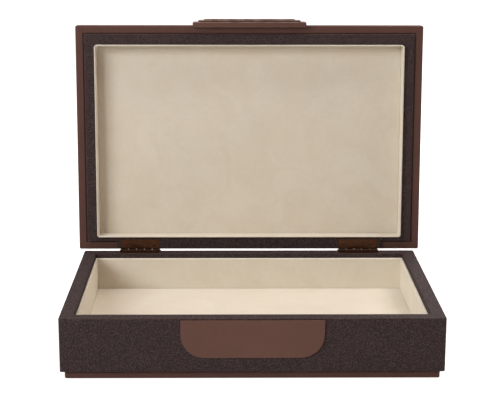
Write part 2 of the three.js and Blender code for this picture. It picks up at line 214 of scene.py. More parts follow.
def new_group(name, inputs, outputs):
    """An empty node group with named sockets, and its input and output nodes."""
    group = bpy.data.node_groups.new(name, "ShaderNodeTree")
    for label, kind, value in inputs:
        socket = group.interface.new_socket(
            name=label, in_out="INPUT", socket_type="NodeSocket" + kind,
        )
        if value is not None:
            socket.default_value = value
    for label, kind in outputs:
        group.interface.new_socket(name=label, in_out="OUTPUT", socket_type="NodeSocket" + kind)
    return group, group.nodes.new("NodeGroupInput"), group.nodes.new("NodeGroupOutput")


def placed_group(tree, group, inputs):
    """The outputs of a node group, placed with its inputs."""
    return add(tree, "ShaderNodeGroup", inputs, node_tree=group).outputs


def new_material(name):
    """A material, its node tree, its shader and the Object coordinates."""
    material = bpy.data.materials.new(name)
    material.use_nodes = True
    tree = material.node_tree
    place = tree.nodes.new("ShaderNodeTexCoord").outputs["Object"]
    return material, tree, tree.nodes["Principled BSDF"], place


def bumped(tree, shader, height, depth):
    """Feeds a height through a Bump node of a real depth to the shader's normal."""
    bump = add(tree, "ShaderNodeBump", {"Height": height, "Distance": depth, "Strength": 1.0})
    tree.links.new(bump.outputs["Normal"], shader.inputs["Normal"])


def mixed(tree, share, first, second):
    """Two colours mixed by a share from 0 to 1."""
    return add(tree, "ShaderNodeMix", {0: share, 6: first, 7: second}, data_type="RGBA").outputs[2]


# Cloudy tone: soft patches and finer flecks around 1, as in anything dyed, stained or handled
cloudy_tone, way_in, way_out = new_group(
    "Cloudy tone",
    [
        ("Vector", "Vector", None),
        ("Scale", "Float", 40.0),
        ("Patches", "Float", 0.05),
        ("Flecks", "Float", 0.02),
    ],
    [("Tone", "Float"), ("Flecks", "Float")],
)
given = way_in.outputs
flecks_to_a_patch = 23.0
fleck_scale = math_node(cloudy_tone, "MULTIPLY", given["Scale"], flecks_to_a_patch)
patches = noise(cloudy_tone, given["Vector"], given["Scale"], detail=3.0, roughness=0.55)[0]
flecks = noise(cloudy_tone, given["Vector"], fleck_scale, detail=2.0, roughness=0.6)[0]
tone = 1.0
for value, strength in ((patches, given["Patches"]), (flecks, given["Flecks"])):
    swing = spread(cloudy_tone, value, low=0.3, high=0.7, to_low=-1, to_high=1)
    tone = math_node(cloudy_tone, "MULTIPLY_ADD", swing, strength, tone)
cloudy_tone.links.new(tone, way_out.inputs["Tone"])
cloudy_tone.links.new(flecks, way_out.inputs["Flecks"])

# Rubbed and lit edge: a lighter colour on the rounded edges, partly scuffs where hands and cloths
# touch and partly a painted highlight, broken up so that it is uneven
rubbed_and_lit_edge, way_in, way_out = new_group(
    "Rubbed and lit edge",
    [("Vector", "Vector", None), ("Scale", "Float", 90.0), ("Amount", "Float", 0.5)],
    [("Mask", "Float")],
)
given = way_in.outputs
worn_and_lit = add(rubbed_and_lit_edge, "ShaderNodeAttribute", attribute_name="wear_and_highlight").outputs["Fac"]
broken = noise(rubbed_and_lit_edge, given["Vector"], given["Scale"], detail=3.0)[0]
broken = spread(rubbed_and_lit_edge, broken, low=0.3, high=0.65)
mask = math_node(rubbed_and_lit_edge, "MULTIPLY", worn_and_lit, broken)
mask = math_node(rubbed_and_lit_edge, "MULTIPLY", mask, given["Amount"])
rubbed_and_lit_edge.links.new(mask, way_out.inputs["Mask"])


def clouded(tree, place, scale, patches, flecks):
    """The outputs of the cloudy tone: the tone itself, and its flecks."""
    inputs = {"Vector": place, "Scale": scale, "Patches": patches, "Flecks": flecks}
    return placed_group(tree, cloudy_tone, inputs)


def edge_wear_and_highlight_share(tree, place, scale, amount):
    """How much of the lighter edge colour, partly scuffs and partly a painted highlight, shows
    place by place.
    """
    inputs = {"Vector": place, "Scale": scale, "Amount": amount}
    return placed_group(tree, rubbed_and_lit_edge, inputs)["Mask"]


def satin_brown(name, colour, edge_wear_and_highlight_colour, rubbed_and_lit=0.5):
    """Brown lacquer over a close-grained ground: cloudy tone, pale edges that stand partly for
    scuffs and partly for a painted highlight, a faint orange-peel skin."""
    material, tree, shader, place = new_material(name)
    tone = clouded(tree, place, scale=30.0, patches=0.05, flecks=0.035)
    edge = edge_wear_and_highlight_share(tree, place, scale=110.0, amount=rubbed_and_lit)
    ground = toned(tree, colour, tone["Tone"])
    tree.links.new(mixed(tree, edge, ground, edge_wear_and_highlight_colour), shader.inputs["Base Color"])
    roughness = spread(tree, tone["Flecks"], low=0.2, high=0.8, to_low=0.4, to_high=0.54)
    tree.links.new(roughness, shader.inputs["Roughness"])
    shader.inputs["Specular IOR Level"].default_value = 0.16
    bumped(tree, shader, tone["Flecks"], 0.03 * mm)
    return material


brown = satin_brown("satin_brown_lacquer", shown(84, 58, 51), shown(120, 91, 82))


def corners_of(low, high, up=1):
    """A box's corners in plan, or with up=2 in elevation, from lower left round to upper left."""
    return [(low[0], low[up]), (high[0], low[up]), (high[0], high[up]), (low[0], high[up])]


plinth_corner = 2.2 * mm
plinth_foot_edge = 0.8 * mm
plinth_top_edge = 1.1 * mm
shadow_line = 0.8 * mm
shadow_line_depth = 2.0 * mm
low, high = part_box("plinth")
ledge = high[2] - shadow_line
outline = rounded_outline(corners_of(low, high), [plinth_corner] * 4)
run = np.concatenate([
    edge_run(low[2], ledge, plinth_foot_edge, plinth_top_edge),
    [
        [shadow_line_depth, ledge, 0],
        [shadow_line_depth, high[2], 0],
        [shadow_line_depth + flat_margin, high[2], 0],
    ],
])
board_shape = shell(*slab(outline, run), caps="rows")
make_piece("plinth_board", [board_shape], brown, "tray", ["plinth"])

# ------------------------------------------------
# Felt: a sheet of pressed wool, dyed dark brown and glued into a shallow hollow under the plinth,
# so that the box doesn't scratch a table.
# ------------------------------------------------


def matted_fibres(name, colour, scale, patches, flecks, roughness, depth, sheen=0.0):
    """A dull material of pressed fibres: cloudy tone, with a bump of its flecks."""
    material, tree, shader, place = new_material(name)
    tone = clouded(tree, place, scale, patches, flecks)
    tree.links.new(toned(tree, colour, tone["Tone"]), shader.inputs["Base Color"])
    shader.inputs["Roughness"].default_value = roughness
    shader.inputs["Sheen Weight"].default_value = sheen
    bumped(tree, shader, tone["Flecks"], depth)
    return material


def dress(names, material):
    """Gives CAD nodes that stay as they are their material."""
    for name in names:
        for holder in frame["nodes"][name].material_slots:
            holder.material = material


felt = matted_fibres(
    "pressed_felt", shown(52, 42, 38),
    scale=120.0, patches=0.12, flecks=0.3, roughness=1.0, depth=0.2 * mm, sheen=0.3,
)
dress(["base_felt"], felt)

# ------------------------------------------------
# Carcass: a bottom board and four mitred wall boards of plain fibreboard, glued up.
# The wrap and the linings cover all of it, but for the saw-cut pockets under the hinge leaves.
# ------------------------------------------------
fibreboard = matted_fibres(
    "fibreboard", shown(169, 138, 98),
    scale=60.0, patches=0.08, flecks=0.25, roughness=0.9, depth=0.08 * mm,
)
frame_sides = ("front", "right", "back", "left")
dress(["base_board", *(f"wall_{side}" for side in frame_sides)], fibreboard)

# ------------------------------------------------
# Wrap: one sheet of leatherette embossed with shagreen pebbles, glued round the four walls, folded
# over the rim and down the inside, and under at the bottom. Its folds are cut on the mitre at the
# rim's corners.
# ------------------------------------------------
pebble_grain, way_in, way_out = new_group(
    "Pebble grain",
    [("Vector", "Vector", None), ("Pebbles", "Float", 800.0), ("Uneven", "Float", 0.35)],
    [("Height", "Float"), ("Gap", "Float"), ("Tone", "Float")],
)
given = way_in.outputs
stray = noise(pebble_grain, given["Vector"], given["Pebbles"], detail=1.0)["Color"]
stray = vector_node(pebble_grain, "SUBTRACT", stray, (0.5, 0.5, 0.5))
reach = math_node(pebble_grain, "DIVIDE", given["Uneven"], given["Pebbles"])
stray = add(
    pebble_grain, "ShaderNodeVectorMath", {0: stray, "Scale": reach}, operation="SCALE",
).outputs[0]
strayed = vector_node(pebble_grain, "ADD", given["Vector"], stray)
cells = {"Vector": strayed, "Scale": given["Pebbles"]}
cell = add(pebble_grain, "ShaderNodeTexVoronoi", cells, feature="F1").outputs["Color"]
border = add(pebble_grain, "ShaderNodeTexVoronoi", cells, feature="DISTANCE_TO_EDGE")
border = border.outputs["Distance"]
dome = spread(pebble_grain, border, low=0.0, high=0.3)
gap = spread(pebble_grain, border, low=0.02, high=0.16, to_low=1.0, to_high=0.0)
own = add(pebble_grain, "ShaderNodeSeparateColor", {"Color": cell}).outputs
height_swing, least_height = 0.4, 0.6
taller = math_node(pebble_grain, "MULTIPLY_ADD", own[1], height_swing, least_height)
pebble_grain.links.new(math_node(pebble_grain, "MULTIPLY", dome, taller), way_out.inputs["Height"])
pebble_grain.links.new(gap, way_out.inputs["Gap"])
pebble_grain.links.new(own[0], way_out.inputs["Tone"])


def shagreen_leatherette(name, pebble_colour, gap_colour, edge_wear_and_highlight_colour):
    """Embossed leatherette: each pebble has its own tone, the gaps between them are darker, and the
    folded edges take a lighter colour, partly scuffs and partly a painted highlight."""
    material, tree, shader, place = new_material(name)
    grain = placed_group(tree, pebble_grain, {"Vector": place, "Pebbles": 1300.0, "Uneven": 0.4})
    tone = clouded(tree, place, scale=26.0, patches=0.03, flecks=0.03)
    edge = edge_wear_and_highlight_share(tree, place, scale=260.0, amount=0.6)
    tone_swing, least_tone = 0.9, 0.55
    own_tone = math_node(tree, "MULTIPLY_ADD", grain["Tone"], tone_swing, least_tone)
    pebble = toned(tree, pebble_colour, math_node(tree, "MULTIPLY", own_tone, tone["Tone"]))
    rubbed_and_lit = mixed(tree, edge, pebble, edge_wear_and_highlight_colour)
    tree.links.new(mixed(tree, grain["Gap"], rubbed_and_lit, gap_colour), shader.inputs["Base Color"])
    roughness = spread(tree, grain["Height"], low=0.0, high=0.9, to_low=0.8, to_high=0.5)
    tree.links.new(roughness, shader.inputs["Roughness"])
    shader.inputs["Specular IOR Level"].default_value = 0.05
    bumped(tree, shader, grain["Height"], 0.1 * mm)
    return material


shagreen = shagreen_leatherette(
    "shagreen_leatherette", shown(76, 65, 65), shown(44, 36, 36), shown(104, 90, 84),
)


def quarter(share, inset, height, radius, start, stop, steps=4):
    """A quarter circle in a frame's cross-section, as rows of share, inset, height and the share of
    the lighter edge colour, partly scuffs and partly a painted highlight. It runs through inset + r
    cos a and height + r sin a, for a from start to stop in degrees, with a short flat before and
    after it."""
    angle = np.radians(np.linspace(start, stop, steps + 1))
    turn = np.stack([
        np.full(steps + 1, share),
        inset + radius * np.cos(angle),
        height + radius * np.sin(angle),
        np.abs(np.sin(2 * angle)),
    ], 1)
    ahead = np.stack([-np.sin(angle), np.cos(angle)], 1) * flat_margin * np.sign(stop - start)
    before = np.array([share, *(turn[0, 1:3] - ahead[0]), 0])
    after = np.array([share, *(turn[-1, 1:3] + ahead[-1]), 0])
    return np.concatenate([[before], turn, [after]])


def bar_run(low, high, outer_low, inner_low, inner_high, outer_high):
    """A frame's cross-section, anticlockwise from its outer lower edge, with four edge radii."""
    return np.concatenate([
        quarter(0, outer_low, low + outer_low, outer_low, 180, 270),
        quarter(1, -inner_low, low + inner_low, inner_low, 270, 360),
        quarter(1, -inner_high, high - inner_high, inner_high, 0, 90),
        quarter(0, outer_high, high - outer_high, outer_high, 90, 180),
    ])


# A frame's least corner radius, the steps round a corner, and the places along its uncut sides
least_radius = 0.15 * mm
corner_steps = 8
plain_reach = 0.9
plain_counts = (25, 17)


def framed(outer, inner, run, radii, stations_x=None, stations_y=None):
    """Carries a cross-section round a rectangular frame. Rectangles are given as x0, x1, y0, y1. A
    row of the run has the rectangle outer + share (inner - outer), drawn in by its inset, and the
    radius that its two radii mix to, less the inset. Columns start in the middle of the front left
    corner and run anticlockwise; the second result numbers the columns in the middle of the
    corners."""
    outer, inner = np.asarray(outer, float), np.asarray(inner, float)
    share, inset, height = run[:, 0:1], run[:, 1:2], run[:, 2:3]
    x0, x1, y0, y1 = (outer + share * (inner - outer) + inset * [1, -1, 1, -1]).T[:, :, None]
    radius = np.maximum(radii[0] + share * (radii[1] - radii[0]) - inset, least_radius)
    if stations_x is None:
        stations_x = np.linspace(-plain_reach, plain_reach, plain_counts[0]) * inner[1]
    if stations_y is None:
        stations_y = np.linspace(-plain_reach, plain_reach, plain_counts[1]) * inner[3]

    def corner(x, y, start, stop):
        """An arc about x, y: x + r cos a and y + r sin a, for a from start to stop in degrees."""
        steps = round(corner_steps * abs(stop - start) / 90)
        angle = np.radians(np.linspace(start, stop, steps + 1))[None]
        return np.stack([x + radius * np.cos(angle), y + radius * np.sin(angle)], 2)

    def side(along, across, low, high, sideways):
        """A straight stretch, its places clipped to low and high. Sideways swaps x and y."""
        along = np.clip(np.asarray(along)[None], low, high)
        across = np.broadcast_to(across, along.shape)
        return np.stack([across, along] if sideways else [along, across], 2)

    left, right, front, rear = x0 + radius, x1 - radius, y0 + radius, y1 - radius
    parts = [
        corner(left, front, 225, 270), side(stations_x, y0, left, right, False),
        corner(right, front, 270, 360), side(stations_y, x1, front, rear, True),
        corner(right, rear, 0, 90), side(stations_x[::-1], y1, left, right, False),
        corner(left, rear, 90, 180), side(stations_y[::-1], x0, front, rear, True),
        corner(left, front, 180, 225),
    ]
    flat = np.concatenate(parts, 1)
    counts = np.cumsum([0] + [p.shape[1] for p in parts])
    middles = [0] + [counts[k] + corner_steps // 2 for k in (2, 4, 6)] + [counts[-1] - 1]
    points = np.concatenate([flat, np.broadcast_to(height[:, None], flat.shape[:2] + (1,))], 2)
    return points, middles


def grown(rect, by):
    """A rectangle x0, x1, y0, y1 with each side moved outwards."""
    return [rect[0] - by, rect[1] + by, rect[2] - by, rect[3] + by]


skin = 0.9 * mm
rim_width = 11.7 * mm
rim_round = 0.65 * mm
fold_depth = 14 * mm
turn_under = 8 * mm
tray_corner = 1.8 * mm
opening_corner = 0.3 * mm
leaf_thick = 1.2 * mm
closed_gap = 0.3 * mm
pared = 0.02 * mm
low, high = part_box("base_skin")
tray_outline = [low[0], high[0], low[1], high[1]]
tray_opening = grown(tray_outline, -rim_width)

# The pockets for the hinge leaves and the notches behind the knuckles, from the hinges' own sizes.
# Each cut edge lies between a close pair of points, half a step to either side of it.
leaf_boxes = [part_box(f"hinge_{side}_base_leaf") for side in ("left", "right")]
pocket_gap = 0.2 * mm
pocket_spans = [(a[0] - pocket_gap, b[0] + pocket_gap) for a, b in leaf_boxes]
pin_boxes = [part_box(f"hinge_{side}_pin") for side in ("left", "right")]
notch_spans = [(a[0] - pocket_gap, b[0] + pocket_gap) for a, b in pin_boxes]
pocket_front = leaf_boxes[0][0][1] - pocket_gap
pocket_floor = high[2] - leaf_thick - pocket_gap
notch_face = high[1] - skin - pocket_gap
notch_floor = leaf_boxes[0][0][2] - closed_gap
half_step = pared / 2
station_reach = 0.97
wide_count, deep_count = 31, 21


def stations(half, spans, count):
    """Even places along a side, with a close pair at each end of the spans cut out of it."""
    even = np.linspace(-station_reach, station_reach, count) * half
    pairs = [edge + sign * half_step for span in spans for edge in span for sign in (-1, 1)]
    return np.sort(np.concatenate([even, pairs]))


pocket_inset = high[1] - pocket_front
run = np.concatenate([
    [[0, turn_under, low[2], 0]],
    quarter(0, rim_round, low[2] + rim_round, rim_round, 270, 180),
    [[0, 0, notch_floor - half_step, 0], [0, 0, notch_floor + half_step, 0]],
    quarter(0, rim_round, high[2] - rim_round, rim_round, 180, 90),
    [[0, pocket_inset - half_step, high[2], 0], [0, pocket_inset + half_step, high[2], 0]],
    quarter(1, -rim_round, high[2] - rim_round, rim_round, 90, 0) * [1, 1, 1, 0],
    [[1, 0, high[2] - fold_depth, 0]],
])
outside_rows = len(run)
run = np.concatenate([run, [
    [1, -skin, high[2] - fold_depth, 0],
    [1, -skin, high[2] - skin, 0],
    [0, pocket_inset + half_step, high[2] - skin, 0],
    [0, pocket_inset - half_step, high[2] - skin, 0],
    [0, skin, high[2] - skin, 0],
    [0, skin, notch_floor + half_step, 0],
    [0, skin, notch_floor - half_step, 0],
    [0, skin, low[2] + skin, 0],
    [0, turn_under, low[2] + skin, 0],
]])
grid, middles = framed(
    tray_outline, tray_opening, run, (tray_corner, opening_corner),
    stations(tray_opening[1], pocket_spans + notch_spans, wide_count),
    stations(tray_opening[3], [], deep_count),
)


def in_spans(x, spans):
    """Where x lies inside one of the spans."""
    return np.any([(x > a) & (x < b) for a, b in spans], axis=0)


# The sheet is pared to almost nothing where the leaves, the knuckles and the pins' heads lie
lift = np.where(np.arange(len(run)) < outside_rows, 2 * pared, pared)[:, None]
behind = in_spans(grid[..., 0], notch_spans) & (grid[..., 1] > 0) & (grid[..., 2] > notch_floor)
grid[..., 1] = np.where(behind, np.minimum(grid[..., 1], notch_face + lift), grid[..., 1])
above = in_spans(grid[..., 0], pocket_spans) & (grid[..., 1] > pocket_front)
grid[..., 2] = np.where(above, np.minimum(grid[..., 2], pocket_floor + lift), grid[..., 2])

# The mitred cuts are fine grooves across the rim's corners, and the lighter edge colour along them
# is a painted highlight
groove = 0.12 * mm
on_rim = (run[:, 2] > high[2] - rim_round) & (np.arange(len(run)) < outside_rows)
wear_and_highlight = np.broadcast_to(run[:, 3:4], grid.shape[:2]).copy()
for column in middles[:-1]:
    grid[on_rim, column, 2] -= groove
    wear_and_highlight[on_rim, column] = 1
wrap_shape = shell(grid[:, :-1], wear_and_highlight[:, :-1], rows_closed=True)
make_piece("tray_wrap", [wrap_shape], shagreen, "tray", ["base_skin"])

# ------------------------------------------------
# Lining of the tray: four thin boards and a floor pad, each covered in cream suede cloth that is
# drawn round its edges and glued behind. The boards are pressed in first, and the pad is laid
# between them.
# ------------------------------------------------
suede_nap, way_in, way_out = new_group(
    "Suede nap",
    [("Vector", "Vector", None), ("Fibres", "Float", 1500.0)],
    [("Height", "Float"), ("Brushed", "Float")],
)
given = way_in.outputs
fibres_to_a_patch = 60.0
brush_scale = math_node(suede_nap, "DIVIDE", given["Fibres"], fibres_to_a_patch)
fibre = noise(suede_nap, given["Vector"], given["Fibres"], detail=2.0, roughness=0.7)[0]
brushed = noise(
    suede_nap, given["Vector"], brush_scale, detail=4.0, roughness=0.6, distortion=1.2,
)[0]
brushed = spread(suede_nap, brushed, low=0.32, high=0.68)
suede_nap.links.new(fibre, way_out.inputs["Height"])
suede_nap.links.new(brushed, way_out.inputs["Brushed"])


def suede_cloth(name, colour, brushed_colour, edge_wear_and_highlight_colour):
    """Cream microsuede: a short nap with soft flecks, brushed the other way in patches, and lighter
    on its folded edges, partly scuffs and partly a painted highlight.
    """
    material, tree, shader, place = new_material(name)
    nap = placed_group(tree, suede_nap, {"Vector": place, "Fibres": 1500.0})
    tone = clouded(tree, place, scale=14.0, patches=0.02, flecks=0.012)
    edge = edge_wear_and_highlight_share(tree, place, scale=200.0, amount=0.5)
    ground = toned(tree, mixed(tree, nap["Brushed"], colour, brushed_colour), tone["Tone"])
    tree.links.new(mixed(tree, edge, ground, edge_wear_and_highlight_colour), shader.inputs["Base Color"])
    shader.inputs["Roughness"].default_value = 0.95
    shader.inputs["Specular IOR Level"].default_value = 0.2
    shader.inputs["Sheen Weight"].default_value = 0.15
    shader.inputs["Sheen Roughness"].default_value = 0.6
    bumped(tree, shader, nap["Height"], 0.05 * mm)
    return material


suede = suede_cloth(
    "cream_suede_cloth", shown(219, 213, 198), shown(216, 208, 191), shown(238, 233, 222),
)
joint_gap = 0.12 * mm


def mitred_bars(grid, middles, run):
    """Cuts a frame on its corners' middles into four bars, each drawn in along its own length by
    half a joint's gap, and yields each side's name and shell."""
    shifts = {"front": (1, 0), "right": (0, 1), "back": (-1, 0), "left": (0, -1)}
    for k, side in enumerate(frame_sides):
        bar = grid[:, middles[k]:middles[k + 1] + 1].copy()
        shift = np.array(shifts[side]) * joint_gap / 2
        bar[:, 0, :2] += shift
        bar[:, -1, :2] -= shift
        wear_and_highlight = np.broadcast_to(run[:, 3:4], bar.shape[:2])
        yield side, shell(bar, wear_and_highlight, rows_closed=True, columns_closed=False, caps="columns")


def plan_of(names, box=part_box):
    """The rectangle x0, x1, y0, y1 and the levels z0, z1 that hold some nodes."""
    boxes = [box(name) for name in names]
    lows = np.min([b[0] for b in boxes], axis=0)
    highs = np.max([b[1] for b in boxes], axis=0)
    return [lows[0], highs[0], lows[1], highs[1]], lows[2], highs[2]


lining_thick = 1.7 * mm
cloth_fold = 1.1 * mm
cloth_edge = 0.4 * mm
hidden_edge = 0.2 * mm
rect, z0, z1 = plan_of([f"lining_{side}" for side in frame_sides])
# The folded top edge takes the lighter edge colour of the cloth: a painted highlight, with some
# scuffs.
run = bar_run(z0, z1, hidden_edge, hidden_edge, cloth_fold, cloth_edge)
grid, middles = framed(rect, grown(rect, -lining_thick), run, (least_radius, least_radius))
for side, bar in mitred_bars(grid, middles, run):
    make_piece(f"tray_lining_{side}", [bar], suede, "tray", [f"lining_{side}"])

# A pad's edge radius, the places across it, as shares of that radius and as counts, and its waves
pad_soft = 0.25 * mm
past_edge, first_inner = 1.15, 2
edge_places, face_places = 7, 24
wave_count = 6
waves_across, waves_deep = (0.7, 3.2), (0.7, 2.6)
wave_phases = (0, 6.28)


def pad(rect, base, face, crown, waves, seed):
    """A thin pad as two grids that meet at the edge. With d the distance from the nearest sides,
    its face stands at base + (face - base) e(dx) e(dy), where the edge is rounded by
    e(d) = sqrt(1 - (1 - min(d / soft, 1))^2). With u and v running from -1 to 1 across it, a crown
    (1 - u^2)(1 - v^2) and a few long waves sin(pi (kx u + ky v) + phase) that fade out by
    (1 - u^4)(1 - v^4) keep it from being dead flat."""
    rng = np.random.default_rng(seed)

    def places(a, b):
        """Places across the pad: close together on both rounded edges, and even between them."""
        turn = np.linspace(0, math.pi / 2, edge_places)
        near = pad_soft * np.concatenate([1 - np.cos(turn), [past_edge]])
        side = np.concatenate([near, np.linspace(pad_soft * first_inner, (b - a) / 2, face_places)])
        return np.concatenate([a + side, (b - side)[::-1][1:]])

    x, y = np.meshgrid(places(rect[0], rect[1]), places(rect[2], rect[3]))
    dx = np.minimum(x - rect[0], rect[1] - x)
    dy = np.minimum(y - rect[2], rect[3] - y)
    rise = [np.sqrt(np.clip(1 - (1 - np.minimum(d / pad_soft, 1)) ** 2, 0, 1)) for d in (dx, dy)]
    ways = (x, rect[0], rect[1]), (y, rect[2], rect[3])
    u, v = (2 * (t - (a + b) / 2) / (b - a) for t, a, b in ways)
    draws = [rng.uniform(*span, wave_count) for span in (waves_across, waves_deep, wave_phases)]
    wave = sum(
        np.sin(kx * u * math.pi + ky * v * math.pi + phase) / wave_count
        for kx, ky, phase in zip(*draws)
    )
    lift = crown * (1 - u ** 2) * (1 - v ** 2) + waves * wave * (1 - u ** 4) * (1 - v ** 4)
    top = base + (face - base) * rise[0] * rise[1] + lift * np.sign(face - base)
    # The pad's rounded edge takes the lighter edge colour: partly scuffs, partly a painted
    # highlight.
    near_edge = np.clip(1 - np.minimum(dx, dy) / pad_soft, 0, 1)
    upper, lower = (np.stack([x, y, z], 2) for z in (top, np.full_like(x, base)))
    return closed_pair(upper, lower, near_edge)


def closed_pair(upper, lower, wear_and_highlight):
    """Joins two grids that share their border. The faces are turned round if the volume that they
    hold, the sum of a . (b x c + c x d) / 6 over the quads, is negative."""
    faces = shell(upper, wear_and_highlight, columns_closed=False)[1]
    faces = faces + [[i + wear_and_highlight.size for i in face[::-1]] for face in faces]
    points = np.concatenate([upper.reshape(-1, 3), lower.reshape(-1, 3)])
    a, b, c, d = (points[np.array(faces)[:, k]] for k in range(4))
    volume = sum(np.einsum("ij,ij->i", a, np.cross(p, q)).sum() for p, q in ((b, c), (c, d)))
    faces = [face[::-1] for face in faces] if volume < 0 else faces
    return points, faces, np.concatenate([wear_and_highlight.reshape(-1)] * 2)


floor_pad_grown = 0.15 * mm
rect, z0, z1 = plan_of(["lining_floor"])
pad_shape = pad(grown(rect, floor_pad_grown), z0, z1, crown=0.25 * mm, waves=0.12 * mm, seed=11)
floor_pad = make_piece("tray_floor_pad", [pad_shape], suede, "tray", ["lining_floor"])

# ------------------------------------------------
# Plaque: a thin brown lacquered plate, straight along the top and swept round below, glued to the
# front. Its edges are eased and take a lighter colour, a painted highlight with some scuffs, that
# draws a fine line round it.
# ------------------------------------------------


def front_plate(low, high, radii, back_edge, face_edge, steps=8):
    """A plate that stands on the front: a slab whose outline is in X and Z and whose height is the
    distance forward, along -Y. It has four corner radii, lower left first, and two edge radii."""
    outline = rounded_outline(corners_of(low, high, up=2), radii, steps)
    points, wear_and_highlight = slab(outline, edge_run(-high[1], -low[1], back_edge, face_edge, steps=4))
    forward = np.stack([points[..., 0], -points[..., 2], points[..., 1]], -1)
    return shell(forward, wear_and_highlight, caps="rows")


plaque_radius = 20 * mm
sharp_corner = 0.5 * mm
plaque_back_edge = 0.1 * mm
plaque_edge = 0.35 * mm
plaque_brown = satin_brown("plaque_brown_lacquer", shown(97, 69, 60), shown(126, 96, 85))
plaque_radii = [plaque_radius, plaque_radius, sharp_corner, sharp_corner]
low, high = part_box("front_plaque")
plaque_shape = front_plate(low, high, plaque_radii, plaque_back_edge, plaque_edge, steps=20)
make_piece("front_plaque_plate", [plaque_shape], plaque_brown, "tray", ["front_plaque"])

# ------------------------------------------------
# Lid frame: four mitred bars of brown lacquered wood, rebated above for the top panel and notched
# in front for the pull, with a reveal cut round the ring. It is drawn closed, in its place on the
# tray, and swung open.
# ------------------------------------------------
hinge_joint = frame["joints"][0]
axis_y, axis_z = hinge_joint["pos_m"][1:]
open_angle = math.radians(hinge_joint["range_deg"][1])


def swung(points, angle):
    """Turns points about the hinge axis. Measured from it, y' = y cos a + z sin a and
    z' = z cos a - y sin a."""
    y, z = points[..., 1] - axis_y, points[..., 2] - axis_z
    return np.stack([
        points[..., 0],
        axis_y + y * math.cos(angle) + z * math.sin(angle),
        axis_z + z * math.cos(angle) - y * math.sin(angle),
    ], -1)


def closed_box(name):
    """The lowest and highest corner of a lid's node when the lid is closed."""
    mesh = frame["nodes"][name].data
    points = np.empty(len(mesh.vertices) * 3)
    mesh.vertices.foreach_get("co", points)
    points = swung(points.reshape(-1, 3), -open_angle)
    return points.min(0), points.max(0)


def opened(part):
    """A shell that was drawn closed, swung open."""
    return swung(part[0], open_angle), part[1], part[2]


lid_corner = 1.7 * mm
lid_edge = 0.9 * mm
lip_corner = 2.6 * mm
glue = 0.2 * mm
reveal_width = 0.4 * mm
reveal_depth = 1.2 * mm
lip_nodes = [f"lip_{side}" for side in frame_sides]
lid_outline, z0, z1 = plan_of([f"lid_frame_{side}" for side in frame_sides], closed_box)
lip_plan, lip_low, lip_high = plan_of(lip_nodes, closed_box)
panel_low, panel_high = closed_box("lid_top_panel")
ring_low, ring_high = closed_box("ring_front")
lid_inside = grown(lip_plan, glue)
panel_border = panel_low[0] - lid_outline[0]
rebate = panel_border - glue
rebate_floor = panel_low[2] - glue
reveal_near = ring_low[1] - lid_outline[2] - reveal_width
reveal_far = ring_low[1] - lid_outline[2] + reveal_width
reveal_roof = z0 + reveal_depth
run = np.concatenate([
    quarter(0, lid_edge, z0 + lid_edge, lid_edge, 180, 270, steps=5),
    quarter(0, reveal_near - hidden_edge, z0 + hidden_edge, hidden_edge, 270, 360, steps=2),
    [[0, reveal_near, reveal_roof, 0], [0, reveal_far, reveal_roof, 0]],
    quarter(1, -hidden_edge, reveal_roof + hidden_edge, hidden_edge, 270, 360, steps=2),
    [[1, 0, rebate_floor, 0], [0, rebate, rebate_floor, 0]],
    quarter(0, rebate - hidden_edge, z1 - hidden_edge, hidden_edge, 0, 90, steps=2),
    quarter(0, lid_edge, z1 - lid_edge, lid_edge, 90, 180, steps=5),
])
pull_low, pull_high = closed_box("pull_back")
notch_span = (pull_low[0] - glue, pull_high[0] + glue)
notch_depth = pull_high[1] + glue
grid, middles = framed(
    lid_outline, lid_inside, run, (lid_corner, lip_corner),
    stations(lid_inside[1], [notch_span], wide_count),
)
in_notch = in_spans(grid[..., 0], [notch_span]) & (grid[..., 1] < 0)
grid[..., 1] = np.where(in_notch, np.maximum(grid[..., 1], notch_depth), grid[..., 1])
for side, bar in mitred_bars(grid, middles, run):
    make_piece(f"lid_bar_{side}", [opened(bar)], brown, "lid", [f"lid_frame_{side}"])

# ------------------------------------------------
# Top panel: a board covered in the same leatherette, let into the lid frame's rebate, flush with
# its top. The sheet is drawn round the board's edges and glued behind.
# ------------------------------------------------
cover_corner = 0.6 * mm
cover_edge = 0.5 * mm
outline = rounded_outline(corners_of(panel_low, panel_high), [cover_corner] * 4)
run = edge_run(panel_low[2], panel_high[2], hidden_edge, cover_edge)
cover_shape = opened(shell(*slab(outline, run), caps="rows"))
make_piece("lid_cover_panel", [cover_shape], shagreen, "lid", ["lid_top_panel"])

# ------------------------------------------------
# Ring: leatherette bars raised round the lid's recess, mitred in front. The rear one widens to a
# rail that carries the hinge leaves in two pockets. They are wrapped strips, glued to the frame's
# underside.
# ------------------------------------------------
ring_edge = 0.7 * mm
ring_back = 0.65 * mm
ring_corner = 1.2 * mm
rail_half = 128.5 * mm
rail_span = (-rail_half, rail_half)
rail_rear = closed_box("ring_rear")[1][1]
ring_outline = [ring_low[0], ring_high[0], ring_low[1], lid_outline[3] - panel_border]
z0, z1 = ring_low[2], ring_high[2]
pocket_roof = z0 + leaf_thick + pocket_gap
pocket_line = lid_inside[3] - pocket_front
run = np.concatenate([
    quarter(0, ring_back + ring_edge, z0 + ring_edge, ring_edge, 180, 270),
    [[1, pocket_line - half_step, z0, 0], [1, pocket_line + half_step, z0, 0]],
    quarter(1, -ring_edge, z0 + ring_edge, ring_edge, 270, 360),
    quarter(1, -hidden_edge, z1 - hidden_edge, hidden_edge, 0, 90, steps=2),
    quarter(0, ring_back + hidden_edge, z1 - hidden_edge, hidden_edge, 90, 180, steps=2),
])
grid, middles = framed(
    ring_outline, lid_inside, run, (ring_corner, lip_corner),
    stations(lid_inside[1], [*pocket_spans, rail_span], wide_count),
)
